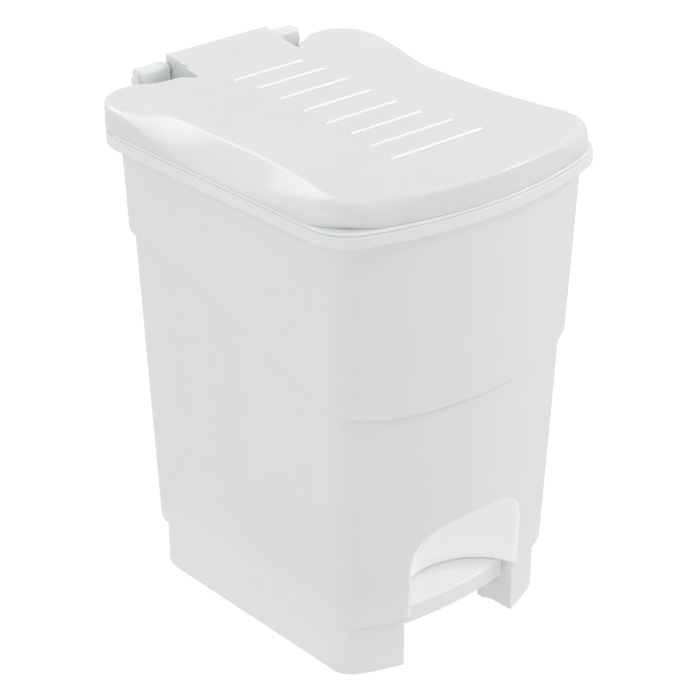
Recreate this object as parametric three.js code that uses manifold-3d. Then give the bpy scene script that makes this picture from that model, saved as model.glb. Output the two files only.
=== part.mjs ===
// Pedal trash can: outer body, lift-out bucket, hinged lid, and the pedal linkage that opens it.
// Millimetres, +Z up, front at -Y. The origin is on the floor at the middle of the overall box.
import * as THREE from 'three';
import Module from 'manifold-3d';
import { mergeVertices } from 'three/addons/utils/BufferGeometryUtils.js';

const wasm = await Module();
wasm.setup();

// ---- Driving dimensions -------------------------------------------------------------------
const RIM_Z = 400;            // top of the body's rim
const WALL = 2.4;             // body wall
const LID_WALL = 2.2;
const BUCKET_WALL = 1.9;
const GAP = 0.3;              // between pieces that touch
const STEP_IN = 4.4;          // the lower wall stands this far inside the upper wall
const FLOOR_Z = 64;           // underside of the body's raised floor
const PLINTH_Z = 46;

// Plan outlines: half width, corner line in front and behind, bow of the front, corner radii.
const RIM_PLAN = { side: 139.5, front: 141.5, back: 159, bow: 29, frontCorner: 38, backCorner: 42 };
const WALL_PLAN = { side: 130.7, front: 132.5, back: 149.2, bow: 34, frontCorner: 24, backCorner: 38 };
const WALL_DRAFT = { side: 0.032, front: 0.033, back: 0.031 };
const PLINTH_PLAN = { side: 109, front: 116.5, back: 133, bow: 29, frontCorner: 20, backCorner: 34 };
const BUCKET_PLAN = { side: 119.5, front: 121.5, back: 127.5, bow: 33, frontCorner: 24, backCorner: 32 };
const LID_PLAN = { side: 138, front: 141, back: 156, bow: 28, frontCorner: 50, backCorner: 34 };

// Rim lip and bucket flange
const LIP_FOOT_Z = 379;
const LIP_FACE_Z = 391;
const FLANGE_Z = RIM_Z + GAP;
const FLANGE_TOP = RIM_Z + 2.5;
const FLANGE_PLAN = { ...RIM_PLAN, side: 138.5, front: 140.5, back: 156, frontCorner: 37, backCorner: 41 };
const BUCKET_FLOOR_Z = 74;

// Step line that sweeps up from the front to the back
const SWOOP = { low: 235, rise: 83, startY: -149.5, run: 290, power: 1.6 };

// Lid
const LID_FOOT_Z = FLANGE_TOP + GAP;
const CREASE_Z = 424.5;
const CROWN = { low: 425.5, rise: 5.5, startY: -31.5, run: 110 };
const WAIST_Y = -16.5;        // where the lid's flanks are scooped in furthest
const SCOOP_DROP = 20;        // how far the foot of the scooped flank stands below the crease there
const LID_TUCK = { depth: 5, height: 7 };   // the foot draws in under the two front corners
const OPEN_ANGLE = THREE.MathUtils.degToRad(80);

// Hinge
const AXIS = { y: 163.5, z: 422 };
const EAR = { inner: 54, outer: 83, depth: 7, top: 10, corner: 4 };
const TONGUE_HALF = 52;
const TONGUE_TOP = 438.5;
const PIN_R = 3;
const BARREL_R = 6.5;

// Pedal linkage
const PIVOT = { y: -28.5, z: 34 };
const LUG_REACH = 34;
const LIFT = 2 * LUG_REACH * Math.sin(OPEN_ANGLE / 2);
const REAR_ARM = 150;
const HALF_SWING = Math.asin(LIFT / 2 / REAR_ARM);
const EYE = { y: PIVOT.y + REAR_ARM * Math.cos(HALF_SWING), z: PIVOT.z - LIFT / 2 };
const LUG = {
  y: AXIS.y - LUG_REACH * Math.cos(OPEN_ANGLE / 2),
  z: AXIS.z - LUG_REACH * Math.sin(OPEN_ANGLE / 2),
};
const ROD_R = 2.5;
const AXLE_R = 3;
const HOLE_PLAY = 0.3;

// Pedal recess in the front
const RECESS = { half: 61, frontY: -152.5, depth: 55, archZ: 88, vaultZ: 80, topZ: 127 };
const WELL = { half: 62, backY: -88.5, curl: 28, top: 49.5 };
const PEDAL = { half: 58, frontY: -127, bow: 5, top: 47.5, bottom: 31, plate: 3, backGap: 3 };

const STEPS = { bow: 7, frontCorner: 6, side: 9, backCorner: 6, back: 3, round: 16 };

// ---- Solids -------------------------------------------------------------------------------
function toSolid(geometry) {
  const bare = geometry.clone();
  bare.deleteAttribute('normal');
  bare.deleteAttribute('uv');
  const merged = mergeVertices(bare, 1e-4);
  return new wasm.Manifold(new wasm.Mesh({
    numProp: 3,
    vertProperties: new Float32Array(merged.attributes.position.array),
    triVerts: new Uint32Array(merged.index.array),
  }));
}

function toGeometry(solid) {
  const mesh = solid.getMesh();
  const geometry = new THREE.BufferGeometry();
  geometry.setAttribute('position', new THREE.BufferAttribute(mesh.vertProperties, 3));
  geometry.setIndex(new THREE.BufferAttribute(mesh.triVerts, 1));
  geometry.computeVertexNormals();
  return geometry;
}

const { clamp, lerp, smoothstep } = THREE.MathUtils;
const join = (solids) => solids.reduce((sum, solid) => sum.add(solid));

function box(x0, x1, y0, y1, z0, z1) {
  const geometry = new THREE.BoxGeometry(x1 - x0, y1 - y0, z1 - z0);
  return toSolid(geometry.translate((x0 + x1) / 2, (y0 + y1) / 2, (z0 + z1) / 2));
}

function shapeOf(points) {
  return new THREE.Shape(points.map(([u, v]) => new THREE.Vector2(u, v)));
}

// A (y, z) profile run along X
const SIDEWAYS = new THREE.Matrix4().makeBasis(
  new THREE.Vector3(0, 1, 0), new THREE.Vector3(0, 0, 1), new THREE.Vector3(1, 0, 0));

function slab(shape, x0, x1) {
  const options = { depth: x1 - x0, bevelEnabled: false, curveSegments: STEPS.round / 2 };
  const geometry = new THREE.ExtrudeGeometry(shape, options).applyMatrix4(SIDEWAYS);
  return toSolid(geometry.translate(x0, 0, 0));
}

// An (x, y) profile run along Z
function prism(shape, z0, z1, curveSegments = STEPS.round / 2) {
  const options = { depth: z1 - z0, bevelEnabled: false, curveSegments };
  return toSolid(new THREE.ExtrudeGeometry(shape, options).translate(0, 0, z0));
}

function rod(radius, x0, x1, y, z) {
  const geometry = new THREE.CylinderGeometry(radius, radius, x1 - x0, STEPS.round);
  return toSolid(geometry.rotateZ(-Math.PI / 2).translate((x0 + x1) / 2, y, z));
}

function clipRing(inner, outer, x0, x1, y, z) {
  return rod(outer, x0, x1, y, z).subtract(rod(inner, x0 - 1, x1 + 1, y, z));
}

const mirrored = (solid) => solid.mirror([1, 0, 0]);
const bothSides = (solid) => solid.add(mirrored(solid));

// ---- Plan outlines and lofts --------------------------------------------------------------
function addArc(points, cx, cy, radius, from, to, steps) {
  for (let i = points.length ? 1 : 0; i <= steps; i += 1) {
    const angle = from + (to - from) * i / steps;
    const [nx, ny] = [Math.cos(angle), Math.sin(angle)];
    points.push({ x: cx + radius * nx, y: cy + radius * ny, nx, ny });
  }
}

function addLine(points, x1, y1, nx, ny, steps) {
  const { x: x0, y: y0 } = points[points.length - 1];
  for (let i = 1; i <= steps; i += 1) {
    points.push({ x: x0 + (x1 - x0) * i / steps, y: y0 + (y1 - y0) * i / steps, nx, ny });
  }
}

// Closed outline, anticlockwise from the middle of the front: a bowed front that runs tangent
// into the corner arcs, straight sides and a straight back. Every outline has the same count.
function outline({ side, front, back, bow, frontCorner, backCorner }) {
  const radius = (side * side + bow * bow) / (2 * bow);
  const centreY = radius - front - bow;
  const reach = side - frontCorner;
  const cornerY = centreY - Math.sqrt((radius - frontCorner) ** 2 - reach ** 2);
  const blend = Math.atan2(cornerY - centreY, reach);
  const half = [];
  addArc(half, 0, centreY, radius, -Math.PI / 2, blend, STEPS.bow);
  addArc(half, reach, cornerY, frontCorner, blend, 0, STEPS.frontCorner);
  addLine(half, side, back - backCorner, 1, 0, STEPS.side);
  addArc(half, side - backCorner, back - backCorner, backCorner, 0, Math.PI / 2, STEPS.backCorner);
  addLine(half, 0, back, 0, 1, STEPS.back);
  const other = half.slice(1, -1).reverse().map((p) => ({ x: -p.x, y: p.y, nx: -p.nx, ny: p.ny }));
  return [...half, ...other];
}

// The same outline moved in by a distance along its normals
function inset(plan, distance) {
  const radius = (plan.side ** 2 + plan.bow ** 2) / (2 * plan.bow) - distance;
  const side = plan.side - distance;
  const bow = radius - Math.sqrt(radius ** 2 - side ** 2);
  return {
    side,
    front: plan.front + plan.bow - distance - bow,
    back: plan.back - distance,
    bow,
    frontCorner: plan.frontCorner - distance,
    backCorner: plan.backCorner - distance,
  };
}

function drafted(plan, z) {
  const depth = RIM_Z - z;
  return {
    ...plan,
    side: plan.side - WALL_DRAFT.side * depth,
    front: plan.front - WALL_DRAFT.front * depth,
    back: plan.back - WALL_DRAFT.back * depth,
  };
}

const flatRing = (plan, z) => outline(plan).map((p) => new THREE.Vector3(p.x, p.y, z));

// A ring on a drafted wall, at a height that may vary with y
function wallRing(plan, distance, heightAt) {
  const low = outline(inset(drafted(plan, 0), distance));
  const high = outline(inset(plan, distance));
  return high.map((top, i) => {
    const z = heightAt(top.y);
    const share = z / RIM_Z;
    return new THREE.Vector3(lerp(low[i].x, top.x, share), lerp(low[i].y, top.y, share), z);
  });
}

function blendRings(a, b, share, z) {
  return a.map((p, i) => new THREE.Vector3(lerp(p.x, b[i].x, share), lerp(p.y, b[i].y, share), z));
}

function centreOf(ring) {
  const sum = ring.reduce((total, p) => total.add(p), new THREE.Vector3());
  return sum.divideScalar(ring.length);
}

// Skins a stack of equal rings, closed at both ends by fans
function loft(rings, endPoint = centreOf(rings[rings.length - 1])) {
  const count = rings[0].length;
  const points = [...rings.flat(), centreOf(rings[0]), endPoint];
  const [start, end] = [points.length - 2, points.length - 1];
  const index = [];
  for (let i = 0; i < count; i += 1) {
    const next = (i + 1) % count;
    index.push(start, next, i);
    for (let row = 0; row < rings.length - 1; row += 1) {
      const [a, b] = [row * count + i, row * count + next];
      index.push(a, b, b + count, a, b + count, a + count);
    }
    const last = (rings.length - 1) * count;
    index.push(end, last + i, last + next);
  }
  const numbers = points.flatMap((p) => p.toArray());
  const geometry = new THREE.BufferGeometry();
  geometry.setAttribute('position', new THREE.Float32BufferAttribute(numbers, 3));
  geometry.setIndex(index);
  return toSolid(geometry);
}

// ---- Outer body ---------------------------------------------------------------------------
function swoopZ(y) {
  const t = clamp((y - SWOOP.startY) / SWOOP.run, 0, 1);
  return SWOOP.low + SWOOP.rise * (1 - (1 - t) ** SWOOP.power);
}

function bodyOutside() {
  const foot = wallRing(WALL_PLAN, 0, () => LIP_FOOT_Z);
  const rim = flatRing(RIM_PLAN, RIM_Z);
  const edge = 1.5;
  return [
    flatRing(PLINTH_PLAN, 0),
    flatRing(PLINTH_PLAN, PLINTH_Z - 2),
    wallRing(WALL_PLAN, STEP_IN, () => PLINTH_Z),
    wallRing(WALL_PLAN, STEP_IN, (y) => swoopZ(y) - 5),
    wallRing(WALL_PLAN, 0, swoopZ),
    foot,
    ...[1 / 3, 2 / 3, 1].map((t) => blendRings(foot, rim, t * t, lerp(LIP_FOOT_Z, LIP_FACE_Z, t))),
    flatRing(RIM_PLAN, RIM_Z - edge),
    flatRing(inset(RIM_PLAN, edge), RIM_Z),
  ];
}

function bodyInside() {
  const lower = STEP_IN + WALL;
  return [
    wallRing(WALL_PLAN, WALL, () => RIM_Z),
    wallRing(WALL_PLAN, WALL, (y) => swoopZ(y) + 2),
    wallRing(WALL_PLAN, lower, (y) => swoopZ(y) - 5),
    wallRing(WALL_PLAN, lower, () => FLOOR_Z + WALL),
  ];
}

function bodyUnderside() {
  return [
    wallRing(WALL_PLAN, STEP_IN + WALL, () => FLOOR_Z),
    wallRing(WALL_PLAN, STEP_IN + WALL, () => PLINTH_Z + 1),
    flatRing(inset(PLINTH_PLAN, WALL), PLINTH_Z - 4),
    flatRing(inset(PLINTH_PLAN, WALL), 0),
  ];
}

// A closed stack over an open-fronted plan: straight out ahead of the body, and behind it the
// curve that backAt gives for shares from 1 on the right to -1 on the left.
const AHEAD_Y = -190;

function frontCutter(heights, halfAt, pointAt) {
  const steps = 7;
  return loft(heights.map((z) => {
    const half = halfAt(z);
    const ring = [new THREE.Vector3(-half, AHEAD_Y, z), new THREE.Vector3(half, AHEAD_Y, z)];
    for (let i = steps; i >= -steps; i -= 1) {
      const [x, y] = pointAt(i / steps, z);
      ring.push(new THREE.Vector3(x, y, z));
    }
    return ring;
  }));
}

// The bowl above the pedal: an arched mouth in the front wall, hollowed out on an elliptical plan
function bowl(grow) {
  const top = RECESS.topZ + grow;
  const halfAt = (z) => {
    const arch = Math.max(0, (z - RECESS.archZ) / (top - RECESS.archZ));
    return (RECESS.half + grow) * (1 - arch ** 2.6) ** (1 / 3);
  };
  const pointAt = (share, z) => {
    const vault = Math.max(0, (z - RECESS.vaultZ) / (top + 1 - RECESS.vaultZ));
    const depth = (RECESS.depth + grow) * (1 - vault ** 2.2) ** (1 / 2.2);
    const angle = share * Math.PI / 2;
    return [halfAt(z) * Math.sin(angle), RECESS.frontY + depth * Math.cos(angle)];
  };
  const shares = [0, 0.3, 0.5, 0.65, 0.77, 0.86, 0.93, 0.975, 0.995];
  const heights = [WELL.top - 4.5, ...shares.map((share) => lerp(RECESS.vaultZ, top, share))];
  return frontCutter(heights, halfAt, pointAt);
}

// The well below it, which the pedal moves in
function well(grow) {
  const half = WELL.half + grow;
  const pointAt = (share) => [half * share, WELL.backY + grow - WELL.curl * share ** 6];
  return frontCutter([-2, WELL.top + grow], () => half, pointAt);
}

function ear() {
  const [y0, y1] = [AXIS.y - EAR.depth, AXIS.y + EAR.depth];
  const top = AXIS.z + EAR.top;
  const shape = new THREE.Shape();
  shape.moveTo(147.5, LIP_FOOT_Z - 3);
  shape.lineTo(151, LIP_FOOT_Z - 3);
  shape.lineTo(y1, RIM_Z - 6);
  shape.lineTo(y1, top - EAR.corner);
  shape.absarc(y1 - EAR.corner, top - EAR.corner, EAR.corner, 0, Math.PI / 2, false);
  shape.absarc(y0 + EAR.corner, top - EAR.corner, EAR.corner, Math.PI / 2, Math.PI, false);
  shape.lineTo(y0, RIM_Z - 0.5);
  shape.lineTo(147.5, RIM_Z - 0.5);
  return slab(shape, EAR.inner, EAR.outer);
}

function axleBracket() {
  const shape = new THREE.Shape();
  shape.moveTo(PIVOT.y + 14, FLOOR_Z + 1);
  shape.lineTo(PIVOT.y - 14, FLOOR_Z + 1);
  shape.lineTo(PIVOT.y - 9, PIVOT.z);
  shape.absarc(PIVOT.y, PIVOT.z, 9, Math.PI, 2 * Math.PI, false);
  return slab(shape, 40, 44);
}

function outerBody() {
  const outside = bodyOutside();
  const shell = loft([...bodyUnderside(), ...outside, ...bodyInside()]);
  const filled = loft(outside);
  const recessWall = bowl(WALL).add(well(WALL)).intersect(filled);
  const leverWay = box(-57, 57, -117, -80, -1, PLINTH_Z);
  const pinHoles = bothSides(rod(PIN_R + HOLE_PLAY, 40, 95, AXIS.y, AXIS.z));
  const axleHoles = rod(AXLE_R + HOLE_PLAY, -60, 60, PIVOT.y, PIVOT.z);
  const rodSlot = box(-6, 6, 114, 129, FLOOR_Z - 2, FLOOR_Z + WALL + 2);
  const lugRelief = box(3, 16, 143, 151, RIM_Z - 6, RIM_Z + 1);
  return shell
    .add(recessWall.subtract(leverWay))
    .subtract(bowl(0))
    .subtract(well(0))
    .add(bothSides(ear()))
    .add(bothSides(axleBracket()))
    .subtract(join([pinHoles, axleHoles, rodSlot, lugRelief]));
}

// ---- Lift-out bucket ----------------------------------------------------------------------
// The bucket's lower front is stepped back to clear the pedal recess.
function recessStep(grow) {
  const points = [[-81 + grow, 40], [-81 + grow, 103 + grow], [-118 + grow, 131 + grow],
    [AHEAD_Y, 137 + grow], [AHEAD_Y, 40]];
  return slab(shapeOf(points), -150, 150);
}

function innerBucket() {
  const outer = loft([
    wallRing(BUCKET_PLAN, 4, () => BUCKET_FLOOR_Z),
    wallRing(BUCKET_PLAN, 0, () => BUCKET_FLOOR_Z + 5),
    wallRing(BUCKET_PLAN, 0, () => FLANGE_Z),
    flatRing(FLANGE_PLAN, FLANGE_Z),
    flatRing(FLANGE_PLAN, FLANGE_TOP),
  ]);
  const inner = loft([
    wallRing(BUCKET_PLAN, BUCKET_WALL + 4, () => BUCKET_FLOOR_Z + BUCKET_WALL),
    wallRing(BUCKET_PLAN, BUCKET_WALL, () => BUCKET_FLOOR_Z + 7),
    wallRing(BUCKET_PLAN, BUCKET_WALL, () => RIM_Z + 8),
  ]);
  const lugNotch = box(-8, 18, 118, 175, RIM_Z - 6, RIM_Z + 6);
  return outer
    .subtract(recessStep(0))
    .subtract(inner.subtract(recessStep(BUCKET_WALL)))
    .subtract(lugNotch);
}

// ---- Lid ----------------------------------------------------------------------------------
function crownZ(y) {
  return CROWN.low + CROWN.rise * smoothstep(y, CROWN.startY, CROWN.startY + CROWN.run);
}

// Where the lid's edge is scooped (1 at the waist, 0 at front and back), how far the crease
// between flank and top stands inside the edge, and where it rounds over a soft front corner
function flankShape({ x, y }) {
  if (y > WAIST_Y) {
    const scoop = Math.cos(Math.min(1, (y - WAIST_Y) / 135) * Math.PI / 2);
    return { scoop, inset: Math.max(1.5, 25 * (1 - smoothstep(y, 70, 165))), corner: 0 };
  }
  const scoop = Math.cos(Math.min(1, (WAIST_Y - y) / 123) * Math.PI / 2);
  const sideShare = smoothstep(Math.abs(x), 58, 103);
  const inset = lerp(1.5, 10 + 15 * scoop, sideShare);
  return { scoop, inset, corner: sideShare * smoothstep(-y, 60, 110) };
}

// How far the foot draws in at a height: only round the front corners, where the normal is diagonal
function tuck(p, z) {
  const diagonal = p.ny < 0 ? Math.abs(2 * p.nx * p.ny) : 0;
  const low = clamp(1 - (z - LID_FOOT_Z) / LID_TUCK.height, 0, 1);
  return LID_TUCK.depth * diagonal ** 3 * low * low;
}

// Flank: an upright band from the foot, then over a knee to the crease. Top: a shallow crown.
function lidLoft(wall, footZ) {
  const edge = outline(inset(LID_PLAN, wall));
  const flanks = edge.map(flankShape);
  const ring = (inwardAt, heightAt) => edge.map((p, i) => {
    const z = heightAt(flanks[i]);
    const inward = inwardAt(flanks[i]) + tuck(p, z);
    return new THREE.Vector3(p.x - p.nx * inward, p.y - p.ny * inward, z);
  });
  const creaseZ = CREASE_Z - wall;
  const kneeZ = ({ scoop }) => CREASE_Z - 0.5 - wall - SCOOP_DROP * scoop ** 1.3;
  const bendZ = (flank) => Math.max(footZ + 1, lerp(kneeZ(flank) - 2.5, footZ + 1, flank.corner));
  const bends = [0, 0.35, 0.7, 1].map((t) => ring(
    (flank) => t * t * flank.inset,
    (flank) => (1 - t) ** 2 * bendZ(flank) + 2 * t * (1 - t) * kneeZ(flank) + t * t * creaseZ));
  const crease = bends[bends.length - 1];
  const top = [0.9, 0.7, 0.42].map((share) => crease.map((p) => {
    const z = lerp(creaseZ, crownZ(p.y * share) - wall, 1 - share ** 2);
    return new THREE.Vector3(p.x * share, p.y * share, z);
  }));
  return loft([ring(() => 0, () => footZ), ...bends, ...top], new THREE.Vector3(0, 0, crownZ(0) - wall));
}

function tongueOutside() {
  const points = [[100, 420], [100, 428.8], [121.5, 431.6], [162.5, TONGUE_TOP], [165.5, 436],
    [165.5, 422], [160, 416], [155, 416]];
  return slab(shapeOf(points), -TONGUE_HALF, TONGUE_HALF);
}

function tongueInside() {
  const points = [[100, 415], [100, 426.2], [121.5, 428.9], [162.3, 435.6], [162.3, 430],
    [153.2, 430], [153.2, 415]];
  return slab(shapeOf(points), LID_WALL - TONGUE_HALF, TONGUE_HALF - LID_WALL);
}

// Notch beside the tongue that leaves the body's hinge ears free
const NOTCH = [[52, 121.5], [56, 124], [65, 135], [80, 145.5], [87, 150.5], [93, 155], [106, 160],
  [106, 180], [52, 180]];
const NOTCH_WALL = [[49.8, 118.8], [57, 121.2], [66.7, 133.2], [81.4, 143.6], [88.4, 148.6],
  [94.3, 152.8], [108, 157.6], [108, 180], [49.8, 180]];

const RIB = { width: 3, height: 1.5, pitch: 28.4, backY: 98.5 };
const RIB_HALF_LENGTHS = [35.5, 34.5, 34, 34, 36, 35.5, 41.5, 46.5];

function ribs(lidOuter) {
  const raised = lidOuter.translate([0, 0, RIB.height]);
  const bars = RIB_HALF_LENGTHS.map((half, i) => {
    const y = RIB.backY - RIB.pitch * i;
    const shape = new THREE.Shape();
    shape.absarc(half, y, RIB.width / 2, -Math.PI / 2, Math.PI / 2, false);
    shape.absarc(-half, y, RIB.width / 2, Math.PI / 2, 1.5 * Math.PI, false);
    return prism(shape, CREASE_Z - 1, CREASE_Z + 12, 3);
  });
  return join(bars).intersect(raised);
}

function liftLug() {
  const along = -OPEN_ANGLE / 2;
  const stadium = (from, to, radius) => {
    const shape = new THREE.Shape();
    shape.absarc(-from, 0, radius, -Math.PI / 2, Math.PI / 2, false);
    shape.absarc(-to, 0, radius, Math.PI / 2, 1.5 * Math.PI, false);
    return shape;
  };
  const turn = new THREE.Matrix4().makeRotationX(-along).setPosition(0, AXIS.y, AXIS.z);
  const plate = (shape, x0, x1) => {
    const options = { depth: x1 - x0, bevelEnabled: false, curveSegments: STEPS.round / 2 };
    const flat = new THREE.ExtrudeGeometry(shape, options).applyMatrix4(SIDEWAYS);
    return toSolid(flat.translate(x0, 0, 0).applyMatrix4(turn));
  };
  const slot = plate(stadium(26.2, LUG_REACH, 4.75), 4, 11);
  return plate(stadium(2, LUG_REACH, 7.75), 5, 10).subtract(slot);
}

function lid() {
  const outer = lidLoft(0, LID_FOOT_Z);
  const outerAll = outer.add(tongueOutside());
  const inner = lidLoft(LID_WALL, LID_FOOT_Z - 3).add(tongueInside());
  const notch = bothSides(prism(shapeOf(NOTCH), 395, 450));
  const notchWall = bothSides(prism(shapeOf(NOTCH_WALL), 395, 450)).intersect(outer);
  const barrel = rod(BARREL_R, -TONGUE_HALF, TONGUE_HALF, AXIS.y, AXIS.z);
  const bore = bothSides(rod(PIN_R + HOLE_PLAY, 24, 60, AXIS.y, AXIS.z));
  return outerAll
    .subtract(inner)
    .add(notchWall)
    .add(ribs(outer))
    .subtract(notch)
    .add(barrel)
    .add(liftLug())
    .subtract(bore);
}

// ---- Hinge pins ---------------------------------------------------------------------------
function hingePin() {
  const shank = rod(PIN_R, 26, EAR.outer + 1, AXIS.y, AXIS.z);
  const headX = EAR.outer + GAP;
  const head = rod(6, headX, headX + 2.2, AXIS.y, AXIS.z);
  const crown = rod(4.6, headX + 2, headX + 3.2, AXIS.y, AXIS.z);
  return join([shank, head, crown]);
}

// ---- Pedal lever --------------------------------------------------------------------------
// Plan of the tread: bowed front, and a back that follows the well
function treadShape(frontInset, depth) {
  const { half, frontY, bow } = PEDAL;
  const steps = 8;
  const front = [];
  const back = [];
  for (let i = -steps; i <= steps; i += 1) {
    const share = i / steps;
    const x = (half - frontInset) * share;
    const y = frontY - bow * (1 - share ** 2) + frontInset;
    front.push([x, y]);
    const wellY = WELL.backY - PEDAL.backGap - (WELL.curl - PEDAL.backGap) * share ** 6;
    back.unshift([x, depth ? y + depth : wellY]);
  }
  return shapeOf([...front, ...back]);
}

function leverArm() {
  const points = [[-118, 33], [-90, 30], [PIVOT.y, 26], [60, 18], [112, 8], [112, 18],
    [60, 28], [PIVOT.y, 42], [-90, 43], [-118, 45]];
  return slab(shapeOf(points), 27, 33).add(rod(8.5, 27, 38, PIVOT.y, PIVOT.z));
}

function pedalLever() {
  const tread = prism(treadShape(0, 0), PEDAL.top - PEDAL.plate, PEDAL.top);
  const lip = prism(treadShape(0, PEDAL.plate), PEDAL.bottom, PEDAL.top - 1);
  const frontTie = box(-30, 30, -93, -89, 33, 44);
  const rearTie = box(-30, 30, 104, 112, 8, 18);
  const eye = box(-11, -6, 106, EYE.y, EYE.z - 4, EYE.z + 5).add(rod(6, -11, -6, EYE.y, EYE.z));
  return join([tread, lip, bothSides(leverArm()), frontTie, rearTie, eye])
    .subtract(rod(AXLE_R + HOLE_PLAY, -60, 60, PIVOT.y, PIVOT.z))
    .subtract(rod(ROD_R + HOLE_PLAY, -20, 0, EYE.y, EYE.z));
}

// ---- Push rod: one bent wire --------------------------------------------------------------
function wire(from, to) {
  const shape = new THREE.Shape();
  shape.absarc(0, 0, ROD_R, 0, 2 * Math.PI, false);
  const extrudePath = new THREE.LineCurve3(from, to);
  const options = { steps: 1, curveSegments: STEPS.round / 2, extrudePath };
  return toSolid(new THREE.ExtrudeGeometry(shape, options));
}

function elbow(from, corner, to) {
  const shape = new THREE.Shape();
  shape.absarc(0, 0, ROD_R, 0, 2 * Math.PI, false);
  const extrudePath = new THREE.QuadraticBezierCurve3(from, corner, to);
  const options = { steps: 6, curveSegments: STEPS.round / 2, extrudePath };
  return toSolid(new THREE.ExtrudeGeometry(shape, options));
}

function pushRod() {
  const bottom = new THREE.Vector3(0, EYE.y, EYE.z);
  const top = new THREE.Vector3(0, LUG.y, LUG.z);
  const along = top.clone().sub(bottom).normalize();
  const bend = 4.5;
  const overlap = 0.2;
  const hook = 15;
  const past = (point, distance) => point.clone().addScaledVector(along, distance);
  const at = (point, dx) => new THREE.Vector3(dx, point.y, point.z);
  return join([
    wire(at(bottom, -hook), at(bottom, overlap - bend)),
    elbow(at(bottom, -bend), bottom, past(bottom, bend)),
    wire(past(bottom, bend - overlap), past(top, overlap - bend)),
    elbow(past(top, -bend), top, at(top, bend)),
    wire(at(top, bend - overlap), at(top, hook)),
  ]);
}

// ---- Assembly -----------------------------------------------------------------------------
const PLASTIC = { color: 0xdbdfdd, roughness: 0.42, metalness: 0 };
const LID_PLASTIC = { color: 0xe2e6e4, roughness: 0.3, metalness: 0 };
const STEEL = { color: 0xb9bcbf, roughness: 0.3, metalness: 1 };

const can = new THREE.Group();

function addPiece(name, solid, finish) {
  const mesh = new THREE.Mesh(toGeometry(solid), new THREE.MeshStandardMaterial(finish));
  mesh.name = name;
  can.add(mesh);
}

addPiece('outer_body', outerBody(), PLASTIC);
addPiece('inner_bucket', innerBucket(), PLASTIC);
addPiece('lid', lid(), LID_PLASTIC);
addPiece('hinge_pin_right', hingePin(), LID_PLASTIC);
addPiece('hinge_pin_left', mirrored(hingePin()), LID_PLASTIC);
addPiece('pedal_lever', pedalLever(), PLASTIC);
addPiece('pedal_axle', rod(AXLE_R, -50, 50, PIVOT.y, PIVOT.z), STEEL);
const axleClip = clipRing(AXLE_R + HOLE_PLAY, 6, 44.5, 46, PIVOT.y, PIVOT.z);
addPiece('axle_clip_right', axleClip, STEEL);
addPiece('axle_clip_left', mirrored(axleClip), STEEL);
addPiece('push_rod', pushRod(), STEEL);
addPiece('rod_clip_lower', clipRing(ROD_R + HOLE_PLAY, 5.5, -13, -11.5, EYE.y, EYE.z), STEEL);
addPiece('rod_clip_upper', clipRing(ROD_R + HOLE_PLAY, 5.5, 10.5, 12, LUG.y, LUG.z), STEEL);

export default can;
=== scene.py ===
"""Looks of a white plastic pedal trash can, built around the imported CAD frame.

Shapes are worked out in millimetres in the part's own frame (+Z up, front at -Y) and scaled to
metres when a piece is finished. Every piece rides on a CAD body and replaces the node it refines.
"""

import math

import bmesh
import bpy
import numpy as np
from mathutils import Matrix, Vector
from mathutils.bvhtree import BVHTree


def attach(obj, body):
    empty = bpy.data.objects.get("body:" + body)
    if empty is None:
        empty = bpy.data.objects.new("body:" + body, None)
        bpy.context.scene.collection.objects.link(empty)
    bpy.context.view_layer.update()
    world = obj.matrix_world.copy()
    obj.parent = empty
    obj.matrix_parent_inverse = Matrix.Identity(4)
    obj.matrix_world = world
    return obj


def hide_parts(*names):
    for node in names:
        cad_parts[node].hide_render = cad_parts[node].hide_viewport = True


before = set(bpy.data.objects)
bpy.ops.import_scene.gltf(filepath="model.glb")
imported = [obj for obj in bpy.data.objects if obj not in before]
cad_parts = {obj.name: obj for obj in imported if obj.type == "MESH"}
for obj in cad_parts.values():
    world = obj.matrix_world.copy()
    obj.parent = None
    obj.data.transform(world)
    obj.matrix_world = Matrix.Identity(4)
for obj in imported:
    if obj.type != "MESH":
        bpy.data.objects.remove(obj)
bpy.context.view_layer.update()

MM = 0.001
START_COLLECTION = bpy.context.scene.collection

# ---- Driving dimensions ----------------------------------------------------------------------
# These are the CAD part's. The swoop, the lid's tuck, the well and the ribs differ from it by up
# to 5 mm, inside its box, where the finished look asked for it.
RIM_Z = 400.0
WALL = 2.4
LID_WALL = 2.2
BUCKET_WALL = 1.9
GAP = 0.3
STEP_IN = 4.4
FLOOR_Z = 64.0
PLINTH_Z = 46.0


def plan(side, front, back, bow, front_corner, back_corner):
    return dict(side=side, front=front, back=back, bow=bow,
                front_corner=front_corner, back_corner=back_corner)


RIM_PLAN = plan(139.5, 141.5, 159.0, 29.0, 38.0, 42.0)
WALL_PLAN = plan(130.7, 132.5, 149.2, 34.0, 24.0, 38.0)
WALL_DRAFT = dict(side=0.032, front=0.033, back=0.031)
PLINTH_PLAN = plan(109.0, 116.5, 133.0, 29.0, 20.0, 34.0)
BUCKET_PLAN = plan(119.5, 121.5, 127.5, 33.0, 24.0, 32.0)
LID_PLAN = plan(138.0, 141.0, 156.0, 28.0, 50.0, 34.0)

LIP_FOOT_Z = 379.0
LIP_FACE_Z = 391.0
FLANGE_TOP = RIM_Z + 2.5
FLANGE_PLAN = plan(138.5, 140.5, 156.0, 29.0, 37.0, 41.0)
BUCKET_FLOOR_Z = 74.0
SWOOP = dict(low=239.5, rise=78.5, start_y=-149.5, run=290.0, power=1.6)

LID_FOOT_Z = FLANGE_TOP + GAP
CREASE_Z = 424.5
CROWN = dict(low=425.5, rise=5.5, start_y=-31.5, run=110.0)
WAIST_Y = -16.5
SCOOP_DROP = 20.0
LID_TUCK = dict(depth=6.0, height=9.0)
OPEN_ANGLE = math.radians(80)

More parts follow.
